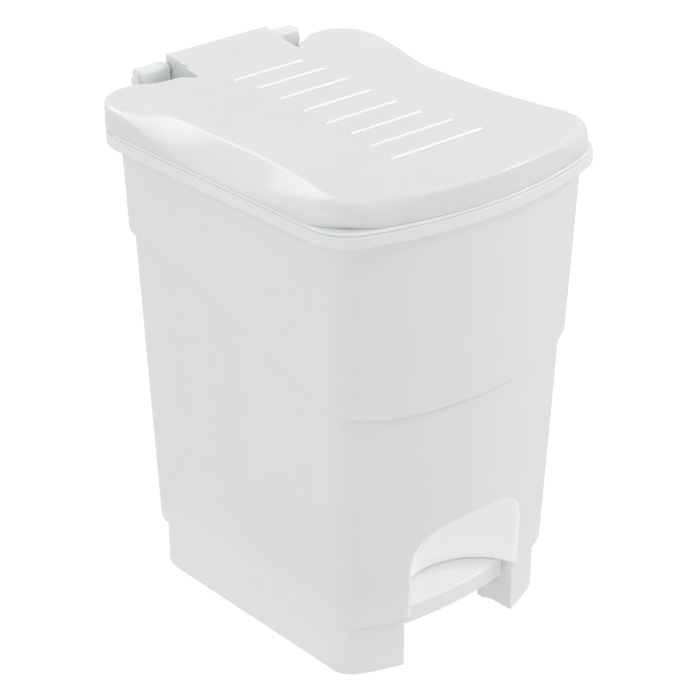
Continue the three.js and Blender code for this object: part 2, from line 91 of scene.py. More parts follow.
AXIS_Y, AXIS_Z = 163.5, 422.0
EAR = dict(inner=54.0, outer=83.0, depth=7.0, top=10.0, corner=4.0)
TONGUE_HALF = 52.0
TONGUE_TOP = 438.5
PIN_R = 3.0
BARREL_R = 6.5

PIVOT_Y, PIVOT_Z = -28.5, 34.0
LUG_REACH = 34.0
LIFT = 2 * LUG_REACH * math.sin(OPEN_ANGLE / 2)
REAR_ARM = 150.0
HALF_SWING = math.asin(LIFT / 2 / REAR_ARM)
EYE_Y = PIVOT_Y + REAR_ARM * math.cos(HALF_SWING)
EYE_Z = PIVOT_Z - LIFT / 2
LUG_Y = AXIS_Y - LUG_REACH * math.cos(OPEN_ANGLE / 2)
LUG_Z = AXIS_Z - LUG_REACH * math.sin(OPEN_ANGLE / 2)
ROD_R = 2.5
AXLE_R = 3.0
HOLE_PLAY = 0.3

AHEAD_Y = -190.0              # clear of the body, in front of it
ABOVE_Z = 500.0               # clear of the lid, above it
RECESS = dict(half=61.0, front_y=-152.5, depth=55.0, arch_z=88.0, vault_z=80.0, top_z=127.0)
WELL = dict(half=61.0, back_y=-88.5, curl=28.0, top=48.4)
PEDAL = dict(half=58.0, front_y=-127.0, bow=5.0, top=47.5, bottom=31.0, plate=3.0, back_gap=3.0)
RIB = dict(width=3.2, height=1.7, pitch=28.4, back_y=98.5)
# Half the length of each rib's straight part, from the back one
RIB_HALF_LENGTHS = [35.5, 34.5, 34.0, 34.0, 36.0, 35.5, 41.5, 46.5]

# Points along each stretch of a plan outline, and round a small cylinder
STEPS = dict(bow=40, front_corner=18, side=40, back_corner=16, back=26)
ROUND = 48


# ---- Mesh helpers ----------------------------------------------------------------------------
def make_object(name, points, faces):
    mesh = bpy.data.meshes.new(name)
    mesh.from_pydata([tuple(p) for p in points], [], faces)
    mesh.validate()
    made = bpy.data.objects.new(name, mesh)
    START_COLLECTION.objects.link(made)
    return made


def loft(name, rings, start=None, end=None):
    """A closed solid skinned over equal rings, with a fan over each end."""
    count = len(rings[0])
    points = np.vstack([*rings, [np.mean(rings[0], axis=0) if start is None else start],
                        [np.mean(rings[-1], axis=0) if end is None else end]])
    first, last = len(points) - 2, len(points) - 1
    top = (len(rings) - 1) * count
    faces = []
    for i in range(count):
        after = (i + 1) % count
        faces.append((first, after, i))
        faces.append((last, top + i, top + after))
        for row in range(0, top, count):
            faces.append((row + i, row + after, row + count + after, row + count + i))
    return make_object(name, points, faces)


def bend_rings(a, corner, c, steps):
    """Rings that round the corner between ring a and ring c."""
    rings = []
    for t in np.linspace(0, 1, steps + 1):
        rings.append((1 - t) ** 2 * a + 2 * t * (1 - t) * corner + t * t * c)
    return rings


def between(a, b, steps):
    """Rings strictly between a and b."""
    return [a + (b - a) * i / steps for i in range(1, steps)]


def evaluated_mesh(source):
    """A new mesh of what source looks like with its modifiers."""
    graph = bpy.context.evaluated_depsgraph_get()
    return bpy.data.meshes.new_from_object(source.evaluated_get(graph))


def combine(base, tool, operation):
    """Joins, cuts or intersects base with tool, and uses tool up."""
    step = base.modifiers.new("combine", "BOOLEAN")
    step.operation = operation
    step.solver = "MANIFOLD"
    step.object = tool
    mesh = evaluated_mesh(base)
    base.modifiers.clear()
    if len(mesh.polygons) == 0:
        raise RuntimeError(f"{operation} of {base.name} with {tool.name} left nothing")
    base.data = mesh
    bpy.data.objects.remove(tool)
    return base


def join(base, *tools):
    for tool in tools:
        combine(base, tool, "UNION")
    return base


def cut(base, *tools):
    for tool in tools:
        combine(base, tool, "DIFFERENCE")
    return base


def common(base, tool):
    return combine(base, tool, "INTERSECT")


def copy_of(source, name):
    made = bpy.data.objects.new(name, source.data.copy())
    START_COLLECTION.objects.link(made)
    return made


def mirrored(source, name):
    """A copy of source, mirrored in the plane x = 0."""
    mesh = evaluated_mesh(source)
    mesh.transform(Matrix.Scale(-1, 4, (1, 0, 0)))
    mesh.flip_normals()
    made = bpy.data.objects.new(name, mesh)
    START_COLLECTION.objects.link(made)
    return made


def rounded(made, width, segments=3, angle=40):
    """Rounds the sharp edges of a simple solid."""
    step = made.modifiers.new("edges", "BEVEL")
    step.width = width
    step.segments = segments
    step.limit_method = "ANGLE"
    step.angle_limit = math.radians(angle)
    step.use_clamp_overlap = True
    mesh = evaluated_mesh(made)
    made.modifiers.clear()
    made.data = mesh
    return made


def prism(name, outline_points, low, high, axis="Z"):
    """A plan outline run along Z, or a (y, z) profile run along X."""
    count = len(outline_points)
    place = {
        "Z": lambda u, v, w: (u, v, w),
        "X": lambda u, v, w: (w, u, v),
    }[axis]
    points = [place(u, v, low) for u, v in outline_points]
    points += [place(u, v, high) for u, v in outline_points]
    faces = [tuple(range(count))[::-1], tuple(range(count, 2 * count))]
    faces += [(i, (i + 1) % count, count + (i + 1) % count, count + i) for i in range(count)]
    return make_object(name, points, faces)


def box(name, x0, x1, y0, y1, z0, z1):
    return prism(name, [(x0, y0), (x1, y0), (x1, y1), (x0, y1)], z0, z1)


def arc(cx, cy, radius, start, stop, steps):
    """Points on an arc, with both ends; angles in degrees."""
    angles = np.radians(np.linspace(start, stop, steps + 1))
    return [(cx + radius * math.cos(a), cy + radius * math.sin(a)) for a in angles]


def turned(name, profile, y, z):
    """A solid of revolution about a line along X through (y, z); profile is (x, radius) pairs."""
    rings = []
    for x, radius in profile:
        ring = [(x, y + radius * math.cos(a), z + radius * math.sin(a))
                for a in np.linspace(0, 2 * math.pi, ROUND, endpoint=False)]
        rings.append(np.array(ring))
    return loft(name, rings)


def rod(name, radius, x0, x1, y, z, edge=0.0):
    """A round bar along X, with chamfered ends where edge is given."""
    profile = [(x0, radius), (x1, radius)]
    if edge:
        profile = [(x0, radius - edge), (x0 + edge, radius), (x1 - edge, radius), (x1, radius - edge)]
    return turned(name, profile, y, z)


def smooth_curve(points, steps):
    """A Catmull-Rom curve through points in the plane."""
    path = np.array([points[0], *points, points[-1]], float)
    made = []
    for p0, p1, p2, p3 in zip(path, path[1:], path[2:], path[3:]):
        for t in np.linspace(0, 1, steps, endpoint=False):
            made.append(0.5 * (2 * p1 + (p2 - p0) * t + (2 * p0 - 5 * p1 + 4 * p2 - p3) * t ** 2
                               + (3 * p1 - p0 - 3 * p2 + p3) * t ** 3))
    made.append(path[-1])
    return made


def surface_of(made):
    """A ray-cast tree of a mesh."""
    return BVHTree.FromObject(made, bpy.context.evaluated_depsgraph_get())


def drop_on(surface, x, y):
    """Where the vertical line through (x, y) first meets surface, and the normal there."""
    place, normal, _, _ = surface.ray_cast(Vector((x, y, ABOVE_Z)), Vector((0, 0, -1)))
    return place, normal


def edge_rounder(name, corners, into_a, into_b, radius, steps=6):
    """A cutter that rounds the edge along corners; into_a and into_b point along its two faces."""
    rings = []
    for corner, a, b in zip(corners, into_a, into_b):
        centre = corner + radius * (a + b)
        sweep = [centre - radius * (math.sin(t) * a + math.cos(t) * b)
                 for t in np.linspace(0, math.pi / 2, steps + 1)]
        lift = 0.25 * radius
        out_a = sweep[0] - lift * b
        out_b = sweep[-1] - lift * a
        outer = corner - lift * (a + b)
        rings.append(np.array([out_a, *sweep, out_b, outer]))
    return facing_out(loft(name, rings))


def facing_out(made):
    """Turns a closed mesh's faces outwards."""
    bm = bmesh.new()
    bm.from_mesh(made.data)
    if bm.calc_volume(signed=True) < 0:
        bmesh.ops.reverse_faces(bm, faces=bm.faces)
    bm.to_mesh(made.data)
    bm.free()
    return made


def smoothstep(t):
    """An S-shaped rise from 0 to 1."""
    t = np.clip(t, 0, 1)
    return t * t * (3 - 2 * t)


# ---- Plan outlines ---------------------------------------------------------------------------
def outline(p):
    """Rows of x, y, nx, ny, anticlockwise from the middle of the bowed front."""
    side, bow, corner = p["side"], p["bow"], p["front_corner"]
    back_corner = p["back_corner"]
    radius = (side ** 2 + bow ** 2) / (2 * bow)
    centre_y = radius - p["front"] - bow
    reach = side - corner
    corner_y = centre_y - math.sqrt((radius - corner) ** 2 - reach ** 2)
    blend = math.atan2(corner_y - centre_y, reach)

    def arc_points(cx, cy, r, start, stop, steps):
        angle = np.linspace(start, stop, steps + 1)
        nx, ny = np.cos(angle), np.sin(angle)
        return np.stack([cx + r * nx, cy + r * ny, nx, ny], axis=1)

    def line_points(start, x1, y1, nx, ny, steps):
        t = np.linspace(0, 1, steps + 1)
        x = start[0] + (x1 - start[0]) * t
        y = start[1] + (y1 - start[1]) * t
        return np.stack([x, y, np.full_like(t, nx), np.full_like(t, ny)], axis=1)

    half = [arc_points(0, centre_y, radius, -math.pi / 2, blend, STEPS["bow"])]
    half.append(arc_points(reach, corner_y, corner, blend, 0, STEPS["front_corner"])[1:])
    half.append(line_points(half[-1][-1], side, p["back"] - back_corner, 1, 0, STEPS["side"])[1:])
    half.append(arc_points(side - back_corner, p["back"] - back_corner, back_corner,
                           0, math.pi / 2, STEPS["back_corner"])[1:])
    half.append(line_points(half[-1][-1], 0, p["back"], 0, 1, STEPS["back"])[1:])
    right = np.vstack(half)
    left = right[1:-1][::-1] * np.array([-1, 1, -1, 1])
    return np.vstack([right, left])


def inset(p, distance):
    """The plan whose outline lies a distance inside another's."""
    radius = (p["side"] ** 2 + p["bow"] ** 2) / (2 * p["bow"]) - distance
    side = p["side"] - distance
    bow = radius - math.sqrt(radius ** 2 - side ** 2)
    return plan(side, p["front"] + p["bow"] - distance - bow, p["back"] - distance, bow,
                p["front_corner"] - distance, p["back_corner"] - distance)


def drafted(p, z):
    """The rim-high plan p as it is at height z, lower down the drafted wall."""
    depth = RIM_Z - z
    return {**p, **{key: p[key] - WALL_DRAFT[key] * depth for key in WALL_DRAFT}}


def flat_ring(p, z):
    xy = outline(p)[:, :2]
    return np.column_stack([xy, np.full(len(xy), z)])


def wall_ring(p, distance, height):
    """A ring on a drafted wall, at a height that may be a number or a function of y."""
    low = outline(inset(drafted(p, 0), distance))
    high = outline(inset(p, distance))
    z = height(high[:, 1]) if callable(height) else np.full(len(high), float(height))
    share = (z / RIM_Z)[:, None]
    return np.column_stack([low[:, :2] * (1 - share) + high[:, :2] * share, z])


def blend_rings(a, b, share, z):
    """A level ring at height z, part of the way from a to b."""
    ring = a + (b - a) * share
    ring[:, 2] = z
    return ring


def swoop_z(y):
    """Height of the step line, which sweeps up from the front to the back."""
    t = np.clip((y - SWOOP["start_y"]) / SWOOP["run"], 0, 1)
    return SWOOP["low"] + SWOOP["rise"] * (1 - (1 - t) ** SWOOP["power"])


# ---- Outer body ------------------------------------------------------------------------------
STEP_RISE = 5.0               # height over which the wall steps out under the swoop line


def swoop_rings(wall_distance, lower, lift):
    """The stepped stretch of a wall: an S from the lower wall out to the upper wall."""
    rings = []
    for t in np.linspace(0, 1, 13):
        distance = lower + (wall_distance - lower) * smoothstep(t)
        rings.append(wall_ring(WALL_PLAN, distance,
                               lambda y, t=t: swoop_z(y) + lift - STEP_RISE * (1 - t)))
    return rings


def body_outside():
    """Rings up the outside: plinth, its shoulder, lower wall, swoop, upper wall, flared lip."""
    plinth_edge, rim_edge = 1.5, 1.1
    shoulder_z, crest_z, slope_z, valley_z = PLINTH_Z - 4, PLINTH_Z - 2, PLINTH_Z - 1.4, PLINTH_Z - 0.8
    plinth_low = flat_ring(PLINTH_PLAN, plinth_edge)
    plinth_high = flat_ring(PLINTH_PLAN, shoulder_z)
    crest = flat_ring(PLINTH_PLAN, crest_z)
    wall_foot = wall_ring(WALL_PLAN, STEP_IN, PLINTH_Z)
    wall_start = wall_ring(WALL_PLAN, STEP_IN, PLINTH_Z + 2.6)
    swoop = swoop_rings(0, STEP_IN, 0)
    foot = wall_ring(WALL_PLAN, 0, LIP_FOOT_Z)
    upper_end = wall_ring(WALL_PLAN, 0, LIP_FOOT_Z - 2)
    rim = flat_ring(RIM_PLAN, RIM_Z)
    flare = []
    for t in np.linspace(0.1, 1, 11):
        flare.append(blend_rings(foot, rim, t * t, LIP_FOOT_Z + (LIP_FACE_Z - LIP_FOOT_Z) * t))
    lip_edge = flare.pop()
    rim_side = flat_ring(RIM_PLAN, RIM_Z - rim_edge)
    return [
        *bend_rings(flat_ring(inset(PLINTH_PLAN, plinth_edge), 0), flat_ring(PLINTH_PLAN, 0),
                    plinth_low, 4),
        *between(plinth_low, plinth_high, 8),
        *bend_rings(plinth_high, crest, blend_rings(crest, wall_foot, 0.3, slope_z), 4),
        *bend_rings(blend_rings(crest, wall_foot, 0.6, valley_z), wall_foot, wall_start, 6),
        *between(wall_start, swoop[0], 26),
        *swoop,
        *between(swoop[-1], upper_end, 16),
        *bend_rings(upper_end, foot, flare[0], 4),
        *flare[1:],
        *bend_rings(0.3 * flare[-1] + 0.7 * lip_edge, lip_edge, 0.9 * lip_edge + 0.1 * rim_side, 4),
        *between(lip_edge, rim_side, 4)[1:],
        *bend_rings(rim_side, rim, flat_ring(inset(RIM_PLAN, rim_edge), RIM_Z), 5),
    ]


def body_inside():
    """Rings down the inside, from the rim to the raised floor."""
    lower = STEP_IN + WALL
    edge, foot_radius, swoop_lift = 1.0, 4, 2
    top = wall_ring(WALL_PLAN, WALL, RIM_Z)
    start = wall_ring(WALL_PLAN, WALL - edge, RIM_Z)
    upper = wall_ring(WALL_PLAN, WALL, RIM_Z - edge)
    swoop = swoop_rings(WALL, lower, swoop_lift)[::-1]
    low = wall_ring(WALL_PLAN, lower, FLOOR_Z + WALL + foot_radius)
    return [
        *bend_rings(start, top, upper, 3),
        *between(upper, swoop[0], 8),
        *swoop,
        *between(swoop[-1], low, 12),
        *bend_rings(low, wall_ring(WALL_PLAN, lower, FLOOR_Z + WALL),
                    wall_ring(WALL_PLAN, lower + foot_radius, FLOOR_Z + WALL), 4),
    ]


def body_underside():
    """Rings under the raised floor, down the inside of the plinth."""
    return [
        wall_ring(WALL_PLAN, STEP_IN + WALL, FLOOR_Z),
        wall_ring(WALL_PLAN, STEP_IN + WALL, PLINTH_Z + 1),
        flat_ring(inset(PLINTH_PLAN, WALL), PLINTH_Z - 4),
        flat_ring(inset(PLINTH_PLAN, WALL), PLINTH_Z / 2),
        flat_ring(inset(PLINTH_PLAN, WALL), 0),
    ]


def arch_half(z, grow=0.0):
    """Half width of the pedal recess at height z: upright sides under a squarish arch."""
    top = RECESS["top_z"] + grow
    arch = np.clip((z - RECESS["arch_z"]) / (top - RECESS["arch_z"]), 0, 1)
    return (RECESS["half"] + grow) * (1 - arch ** 2.6) ** (1 / 3)


def front_cutter(name, heights, half_at, point_at):
    """A closed stack, open ahead of the body; point_at gives its back for shares from 1 to -1."""
    share = np.linspace(1, -1, 81)
    rings = []
    for z in heights:
        half = half_at(z)
        x, y = point_at(share, z)
        back = np.column_stack([x, y, np.full_like(x, z)])
        rings.append(np.array([(-half, AHEAD_Y, z), (half, AHEAD_Y, z), *back]))
    return facing_out(loft(name, rings))


def bowl(name, grow):
    """The bowl above the pedal: an arched mouth, hollowed out on an elliptical plan."""
    top = RECESS["top_z"] + grow
    arch_steps = 44
    low = np.linspace(WELL["top"] - 4.5, RECESS["arch_z"], 14)
    high = [RECESS["arch_z"] + (top - RECESS["arch_z"]) * (1 - (1 - k / arch_steps) ** 3)
            for k in range(1, arch_steps)]

    def point_at(share, z):
        vault = np.clip((z - RECESS["vault_z"]) / (top + 1 - RECESS["vault_z"]), 0, 1)
        depth = (RECESS["depth"] + grow) * (1 - vault ** 2.2) ** (1 / 2.2)
        angle = share * math.pi / 2
        return arch_half(z, grow) * np.sin(angle), RECESS["front_y"] + depth * np.cos(angle)

    return front_cutter(name, [*low, *high], lambda z: arch_half(z, grow), point_at)


def well(name, grow):
    """The well below the bowl, which the pedal moves in."""
    half = WELL["half"] + grow

    def point_at(share, z):
        return half * share, WELL["back_y"] + grow - WELL["curl"] * share ** 6

    return front_cutter(name, [-2.0, *np.linspace(8, WELL["top"] + grow, 6)], lambda z: half, point_at)


def arch_edge_rounder(surface):
    """Rounds the edge where the recess breaks through the front wall."""
    radius = 1.7
    far_ahead = -250
    top, arch_z = RECESS["top_z"], RECESS["arch_z"]
    rise = [PLINTH_Z + 1.5, *np.linspace(PLINTH_Z + 6, arch_z, 12)]
    rise += [arch_z + (top - arch_z) * (1 - (1 - k / 40) ** 3) for k in range(1, 40)]
    right = [(float(arch_half(z)), z) for z in rise]
    flat = [(x, z) for x, z in right] + [(0.0, top)] + [(-x, z) for x, z in reversed(right)]
    corners, normals = [], []
    for x, z in flat:
        place, normal, _, _ = surface.ray_cast(Vector((x, far_ahead, z)), Vector((0, 1, 0)))
        corners.append(np.array(place))
        normals.append(np.array(normal))
    into_wall = []
    for i, corner in enumerate(corners):
        along = corners[min(i + 1, len(corners) - 1)] - corners[max(i - 1, 0)]
        away = np.cross(along, normals[i])
        away /= np.linalg.norm(away)
        outward = np.array([corner[0], 0, corner[2] - RECESS["vault_z"] + 10])
        into_wall.append(away if away @ outward > 0 else -away)
    inward = [np.array([0.0, 1.0, 0.0])] * len(corners)
    return edge_rounder("arch_edge", corners, into_wall, inward, radius)


def ear(name):
    """The right hinge ear, which grows out of the back of the rim."""
    y0, y1 = AXIS_Y - EAR["depth"], AXIS_Y + EAR["depth"]
    top, corner = AXIS_Z + EAR["top"], EAR["corner"]
    in_wall_y = 147.5
    profile = [(in_wall_y, LIP_FOOT_Z - 3), (151, LIP_FOOT_Z - 3), (y1, RIM_Z - 6)]
    profile += arc(y1 - corner, top - corner, corner, 0, 90, 8)
    profile += arc(y0 + corner, top - corner, corner, 90, 180, 8)
    profile += [(y0, RIM_Z - 0.5), (in_wall_y, RIM_Z - 0.5)]
    return rounded(prism(name, profile, EAR["inner"], EAR["outer"], "X"), 1.2)


def axle_bracket(name):
    """The right bracket under the floor, which carries the pedal's axle."""
    foot_half, eye_radius = 14, 9
    profile = [(PIVOT_Y + foot_half, FLOOR_Z + 1), (PIVOT_Y - foot_half, FLOOR_Z + 1)]
    profile += arc(PIVOT_Y, PIVOT_Z, eye_radius, 180, 360, 18)
    return rounded(prism(name, profile, 40, 44, "X"), 0.6, 2)


def outer_body():
    """The body in one moulding: shell, recess, hinge ears, axle brackets and their holes."""
    outside = body_outside()
    shell = facing_out(loft("body_moulding", [*body_underside(), *outside, *body_inside()]))
    filled = facing_out(loft("filled", outside))
    surface = surface_of(filled)
    recess_wall = common(join(bowl("recess_wall", WALL), well("well_wall", WALL)), filled)
    cut(recess_wall, box("lever_way", -57, 57, -117, -80, -1, PLINTH_Z))
    join(shell, recess_wall)
    cut(shell, bowl("bowl", 0), well("well", 0))
    cut(shell, arch_edge_rounder(surface))
    for make in (ear, axle_bracket):
        right = make("right")
        left = mirrored(right, "left")
        join(shell, right, left)
    pin_hole = rod("pin_hole", PIN_R + HOLE_PLAY, 40, 95, AXIS_Y, AXIS_Z)
    cut(shell, mirrored(pin_hole, "pin_hole_left"), pin_hole)
    cut(shell, rod("axle_hole", AXLE_R + HOLE_PLAY, -60, 60, PIVOT_Y, PIVOT_Z))
    cut(shell, box("rod_slot", -6, 6, 114, 129, FLOOR_Z - 2, FLOOR_Z + WALL + 2))
    cut(shell, box("lug_relief", 3, 16, 143, 151, RIM_Z - 6, RIM_Z + 1))
    return shell


# ---- Lift-out bucket -------------------------------------------------------------------------
def recess_step(name, grow):
    """The step in the bucket's front foot, which clears the body's recess."""
    below_z, across = 40, 150
    profile = [(-81 + grow, below_z), (-81 + grow, 103 + grow), (-118 + grow, 131 + grow),
               (AHEAD_Y, 137 + grow), (AHEAD_Y, below_z)]
    return facing_out(prism(name, profile, -across, across, "X"))


def inner_bucket():
    """The bucket hangs by its flange, which nearly fills the line between the rim and the lid."""
    flange_low, flange_high = RIM_Z + 0.05, LID_FOOT_Z - 0.1
    flange_middle = (flange_low + flange_high) / 2
    flange_edge, foot_radius, foot_draft, flare = 0.9, 5, 0.6, 1.6

    def ring(distance, z):
        return wall_ring(BUCKET_PLAN, distance, z)

    def flange_ring(distance, z):
        return flat_ring(inset(FLANGE_PLAN, distance) if distance else FLANGE_PLAN, z)

    wall_top = ring(0, flange_low)
    foot = ring(0, BUCKET_FLOOR_Z + foot_radius)
    outer = facing_out(loft("bucket_moulding", [
        *bend_rings(ring(foot_radius, BUCKET_FLOOR_Z), ring(foot_draft, BUCKET_FLOOR_Z), foot, 5),
        *between(foot, wall_top, 14),
        wall_top,
        *bend_rings(flange_ring(flange_edge, flange_low), flange_ring(0, flange_low),
                    flange_ring(0, flange_middle), 5),
        *bend_rings(flange_ring(0, flange_middle), flange_ring(0, flange_high),
                    flange_ring(flange_edge, flange_high), 6)[1:],
    ]))
    floor_top = BUCKET_FLOOR_Z + BUCKET_WALL
    inner_foot = ring(BUCKET_WALL, BUCKET_FLOOR_Z + 7)
    inner_top = ring(BUCKET_WALL, RIM_Z + 1)
    inner = facing_out(loft("bucket_hollow", [
        *bend_rings(ring(BUCKET_WALL + foot_radius, floor_top), ring(BUCKET_WALL + foot_draft, floor_top),
                    inner_foot, 5),
        *between(inner_foot, inner_top, 14),
        inner_top,
        ring(BUCKET_WALL - flare, RIM_Z + 2.5),
        ring(BUCKET_WALL - flare, RIM_Z + 8),
    ]))
    cut(outer, recess_step("step", 0))
    cut(inner, recess_step("inner_step", BUCKET_WALL))
    cut(outer, inner)
    cut(outer, box("lug_notch", -8, 18, 118, 175, RIM_Z - 6, RIM_Z + 6))
    return outer


# ---- Lid -------------------------------------------------------------------------------------
def crown_z(y):
    """Height of the lid's top along its middle, a little higher at the back."""
    return CROWN["low"] + CROWN["rise"] * smoothstep((y - CROWN["start_y"]) / CROWN["run"])


def flank_shape(x, y):
    """Along the lid's edge: the scoop (1 at the waist), the crease's inset, and the soft corners."""
    scoop_behind, scoop_ahead = 135, 123
    least_in, corner_in, waist_in = 1.5, 8.5, 25
    behind = np.cos(np.clip((y - WAIST_Y) / scoop_behind, 0, 1) * math.pi / 2)
    ahead = np.cos(np.clip((WAIST_Y - y) / scoop_ahead, 0, 1) * math.pi / 2)
    side_share = smoothstep((np.abs(x) - 58) / 45)
    inward_behind = np.maximum(least_in, waist_in * (1 - smoothstep((y - 70) / 95)))
    inward_ahead = least_in + (corner_in + (waist_in - corner_in - least_in) * ahead) * side_share
    corner = side_share * smoothstep((-y - 60) / 50)
    back = y > WAIST_Y
    return (np.where(back, behind, ahead), np.where(back, inward_behind, inward_ahead),
            np.where(back, 0.0, corner))


def tuck(edge, z):
    """How far the lid's foot draws in at height z, round the two front corners."""
    diagonal = np.where(edge[:, 3] < 0, np.abs(2 * edge[:, 2] * edge[:, 3]), 0.0)
    low = np.clip(1 - (z - LID_FOOT_Z) / LID_TUCK["height"], 0, 1)
    return LID_TUCK["depth"] * diagonal ** 1.6 * low ** 2


def tongue_z(y):
    """Height of the raised strip that runs back to the hinge."""
    return np.interp(y, [100, 121.5, 162.5], [428.8, 431.6, TONGUE_TOP])


def lid_loft(name, wall, foot_z):
    """The lid's outer or inner face, closed below: an upright band, the scooped flank, the crown."""
    edge = outline(inset(LID_PLAN, wall))
    scoop, inward, corner = flank_shape(edge[:, 0], edge[:, 1])
    crease_z = CREASE_Z - wall
    lowest_bend, under_knee = foot_z + 1, 2.5
    knee_z = crease_z - 0.5 - SCOOP_DROP * scoop ** 1.3
    bend_z = np.maximum(lowest_bend, knee_z - under_knee + (lowest_bend - knee_z + under_knee) * corner)

    def ring(distance, z):
        distance = distance + tuck(edge, z)
        return np.column_stack([edge[:, 0] - edge[:, 2] * distance,
                                edge[:, 1] - edge[:, 3] * distance, z])

    def band(t):
        return ring(np.zeros(len(edge)), foot_z + (bend_z - foot_z) * t)

    def flank(t):
        return ring(t * t * inward, (1 - t) ** 2 * bend_z + 2 * t * (1 - t) * knee_z + t * t * crease_z)

    crease = flank(1)

    def top(share):
        x, y = crease[:, 0] * share, crease[:, 1] * share
        z = CREASE_Z + (crown_z(y) - CREASE_Z) * (1 - share ** 2.6)
        raised = smoothstep((y - 82) / 30) * (1 - smoothstep((np.abs(x) - 44) / 34))
        z = z + np.maximum(0, tongue_z(y) - z) * raised
        return np.column_stack([x, y, z - wall])

    foot_edge = 0.35
    foot = band(0)
    foot[:, :2] -= edge[:, 2:] * foot_edge
    rings = bend_rings(foot, band(0), band(0.05), 3)
    rings += [band(t) for t in np.linspace(0.15, 1, 8)]
    rings += [flank(t) for t in np.linspace(0.04, 0.94, 24)]
    rings += bend_rings(flank(0.965), crease, top(0.99), 5)
    rings += [top(share) for share in np.linspace(0.975, 0.04, 36)]
    return facing_out(loft(name, rings, end=np.array([0, 0, crown_z(0) - wall])))


def tongue_outside():
    """The tongue's end, with a rounded back edge over the hinge barrel."""
    front_y, edge_y, proud = 140.0, 161.0, 0.04
    profile = [(front_y, 420), (front_y, float(tongue_z(front_y)) + proud),
               (edge_y, float(tongue_z(edge_y)) + proud), (162.9, TONGUE_TOP), (164.4, 437.9),
               (165.3, 436.6), (165.5, 435), (165.5, 422), (160, 416), (155, 416)]
    return prism("tongue", profile[::-1], -TONGUE_HALF, TONGUE_HALF, "X")


def tongue_inside():
    """The hollow under the tongue."""
    half = TONGUE_HALF - LID_WALL
    profile = [(100, 415), (100, 426.2), (121.5, 428.9), (162.3, 435.6), (162.3, 430),
               (153.2, 430), (153.2, 415)]
    return facing_out(prism("tongue_inside", profile[::-1], -half, half, "X"))


# The edge of the notch beside the tongue, and of the lid's wall round it, from the tongue outwards
NOTCH = [(52, 124), (52.6, 121.9), (54.4, 122.2), (57.5, 125.5), (65, 135), (80, 145.5), (87, 150.5),
         (93, 155), (106, 160)]
NOTCH_WALL = [(49.8, 118.8), (57, 121.2), (66.7, 133.2), (81.4, 143.6), (88.4, 148.6),
              (94.3, 152.8), (108, 157.6)]


def notch_prism(name, points):
    """The right notch's space, from below the lid to above it and open behind."""
    behind_y, low, high = 182, 395, 450
    curve = [tuple(p) for p in smooth_curve(points, 8)]
    shape = [(points[0][0], behind_y), *curve, (points[-1][0], behind_y)]
    return facing_out(prism(name, shape, low, high))


def capsule(half, y, radius):
    """Plan outline of a bar with round ends."""
    straight = np.linspace(half, -half, 20)[1:-1]
    right = arc(half, y, radius, -90, 90, 10) + [(x, y + radius) for x in straight]
    left = arc(-half, y, radius, 90, 270, 10) + [(-x, y - radius) for x in straight]
    return right + left


def rib(name, surface, half, y):
    """A low bar with a half-round section that follows the crown, on a root sunk in the lid."""
    radius = RIB["width"] / 2
    root, skirt = 2.0, 0.1
    section = [(radius, -root), (radius + skirt, -0.02), (radius, skirt)]
    section += [(radius * math.cos(t), RIB["height"] * math.sin(t))
                for t in np.radians([22, 36, 50, 62, 74, 84])]
    rings = []
    for reach, lift in section:
        ring = []
        for x, ring_y in capsule(half, y, reach):
            place, _ = drop_on(surface, x, ring_y)
            ring.append((x, ring_y, place.z + lift))
        rings.append(np.array(ring))
    return facing_out(loft(name, rings))


def stadium(start, stop, radius):
    """Round-ended profile along the lug, in its own frame."""
    return arc(-start, 0, radius, -90, 90, 14) + arc(-stop, 0, radius, 90, 270, 14)


def lift_lug():
    """The plate that the push rod hooks into, set at half the lid's opening angle."""
    outside, slot = stadium(2, LUG_REACH, 7.75), stadium(26.2, LUG_REACH, 4.75)
    plate = rounded(facing_out(prism("lug", outside, 5, 10, "X")), 0.7, 2)
    cut(plate, facing_out(prism("lug_slot", slot, 4, 11, "X")))
    turn = Matrix.Rotation(OPEN_ANGLE / 2, 4, "X")
    plate.data.transform(Matrix.Translation((0, AXIS_Y, AXIS_Z)) @ turn)
    return plate


def notch_edge_rounder(name, surface):
    """Rounds the top edge of the notch beside the tongue."""
    radius, closest = 1.0, 0.35
    path = [(TONGUE_HALF, y) for y in np.linspace(164, 126, 16)]
    path += [tuple(p) for p in smooth_curve(NOTCH, 8)]
    corners, normals, flat = [], [], []
    for x, y in path:
        place, normal = drop_on(surface, x, y)
        crowded = flat and np.hypot(x - flat[-1][0], y - flat[-1][1]) < closest
        if place is None or crowded:
            continue
        corners.append(np.array(place))
        normals.append(np.array(normal))
        flat.append((x, y))
    into_top = []
    for i, normal in enumerate(normals):
        along = corners[min(i + 1, len(corners) - 1)] - corners[max(i - 1, 0)]
        away = np.cross(along, normal)
        away /= np.linalg.norm(away)
        if i == 0:
            sign = 1.0 if away[0] < 0 else -1.0
        into_top.append(sign * away)
    down = [np.array([0.0, 0.0, -1.0])] * len(corners)
    return edge_rounder(name, corners, into_top, down, radius)


